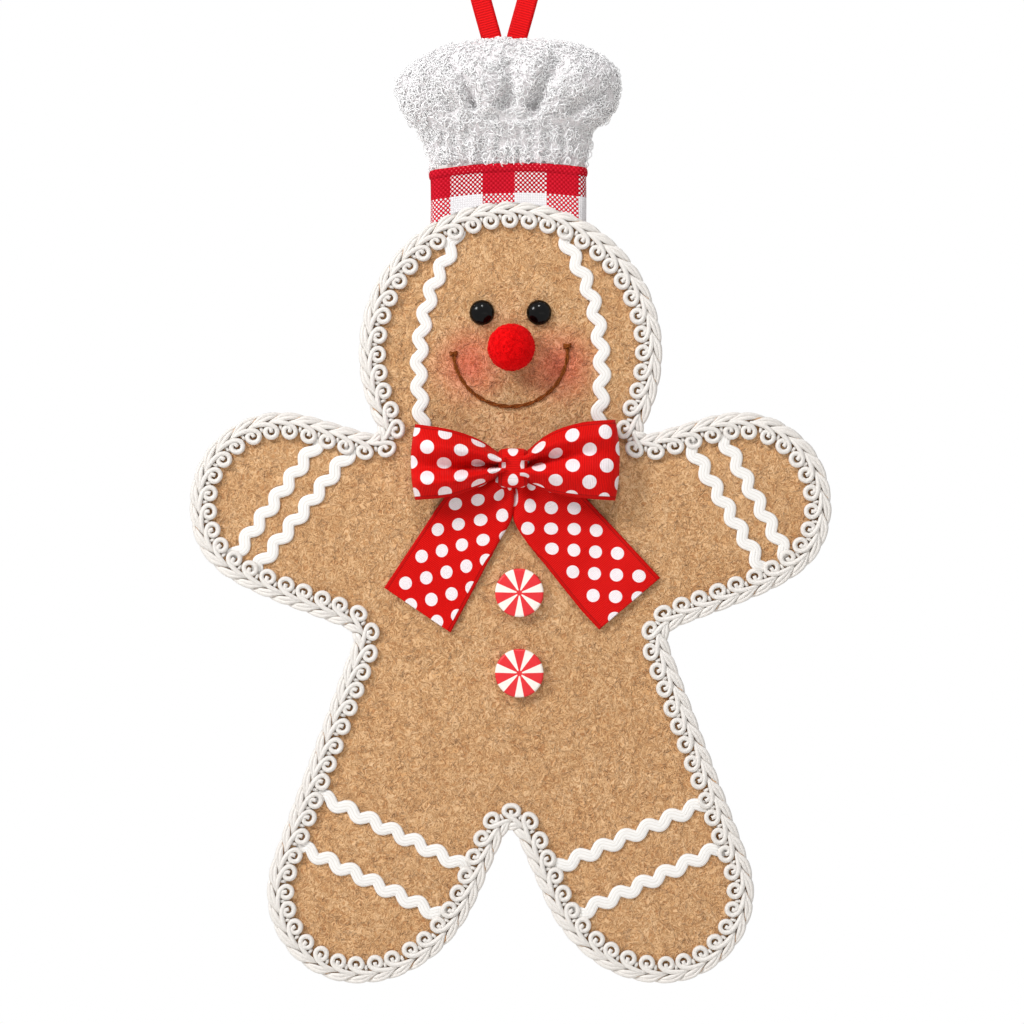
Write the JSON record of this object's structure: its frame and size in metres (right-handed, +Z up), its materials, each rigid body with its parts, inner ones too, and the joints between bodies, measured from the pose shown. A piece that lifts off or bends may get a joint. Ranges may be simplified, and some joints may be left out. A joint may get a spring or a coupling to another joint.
{
  "type": "gingerbread man ornament",
  "caption": "Flat felt gingerbread figure with white scroll edging, zigzag braid icing, dotted bow, peppermint buttons and a gathered hat, hung by a ribbon loop.",
  "frame": {"origin": "inside the top of the hanging ribbon's loop, where it rests on a peg", "axes": "+Z up; the face and bow look along -Y; +X is to the right as the front is seen"},
  "size_m": [0.2042, 0.0229, 0.396],
  "materials": {
    "felt": "brushed plush felt",
    "foam": "plain foam sheet",
    "gimp": "wound satin cord, slight sheen",
    "rickrack": "woven cotton braid",
    "eye": "polished black",
    "nose_felt": "needled wool felt",
    "smile_thread": "two-ply sewing thread",
    "dotted_ribbon": "woven ribbon with white dots",
    "peppermint": "glossy, red and white wedges",
    "gingham": "woven red and white check",
    "wadding": "loose wadding",
    "fleece": "looped terry fleece",
    "hanging_ribbon": "ribbed woven ribbon"
  },
  "bodies": {
    "hanging_loop": {"hanging_ribbon": "hanging_ribbon"},
    "figure": {"foam_core": "foam", "front_felt": "felt", "back_felt": "felt", "scroll_gimp_trim": "gimp", "rickrack_head_left": "rickrack", "rickrack_head_right": "rickrack", "rickrack_arm_left_outer": "rickrack", "rickrack_arm_left_inner": "rickrack", "rickrack_arm_right_inner": "rickrack", "rickrack_arm_right_outer": "rickrack", "rickrack_leg_left_upper": "rickrack", "rickrack_leg_left_lower": "rickrack", "rickrack_leg_right_upper": "rickrack", "rickrack_leg_right_lower": "rickrack", "eye_left": "eye", "eye_right": "eye", "nose_ball": "nose_felt", "smile_thread": "smile_thread", "smile_tack_left": "smile_thread", "smile_tack_right": "smile_thread", "bow_loop_left": "dotted_ribbon", "bow_loop_right": "dotted_ribbon", "bow_knot": "dotted_ribbon", "bow_tail_left_root": "dotted_ribbon", "bow_tail_right_root": "dotted_ribbon", "button_upper": "peppermint", "button_lower": "peppermint", "hat_band": "gingham", "hat_filling": "wadding", "hat_puff": "fleece", "hanging_ribbon_ends": "hanging_ribbon"},
    "bow_tail_left": {"bow_tail_left_end": "dotted_ribbon"},
    "bow_tail_right": {"bow_tail_right_end": "dotted_ribbon"}
  },
  "joints": [
    {"name": "figure_swing", "type": "hinge", "parent": "hanging_loop", "child": "figure", "pos_m": [0, 0, -0.095], "axis": [1, 0, 0], "range_deg": [-90, 90]},
    {"name": "bow_tail_left_lift", "type": "hinge", "parent": "figure", "child": "bow_tail_left", "pos_m": [-0.0123, -0.00475, -0.25397], "axis": [-0.829, 0, 0.5592], "range_deg": [0, 90]},
    {"name": "bow_tail_right_lift", "type": "hinge", "parent": "figure", "child": "bow_tail_right", "pos_m": [0.02026, -0.00475, -0.25218], "axis": [-0.7627, 0, -0.6468], "range_deg": [0, 90]}
  ]
}
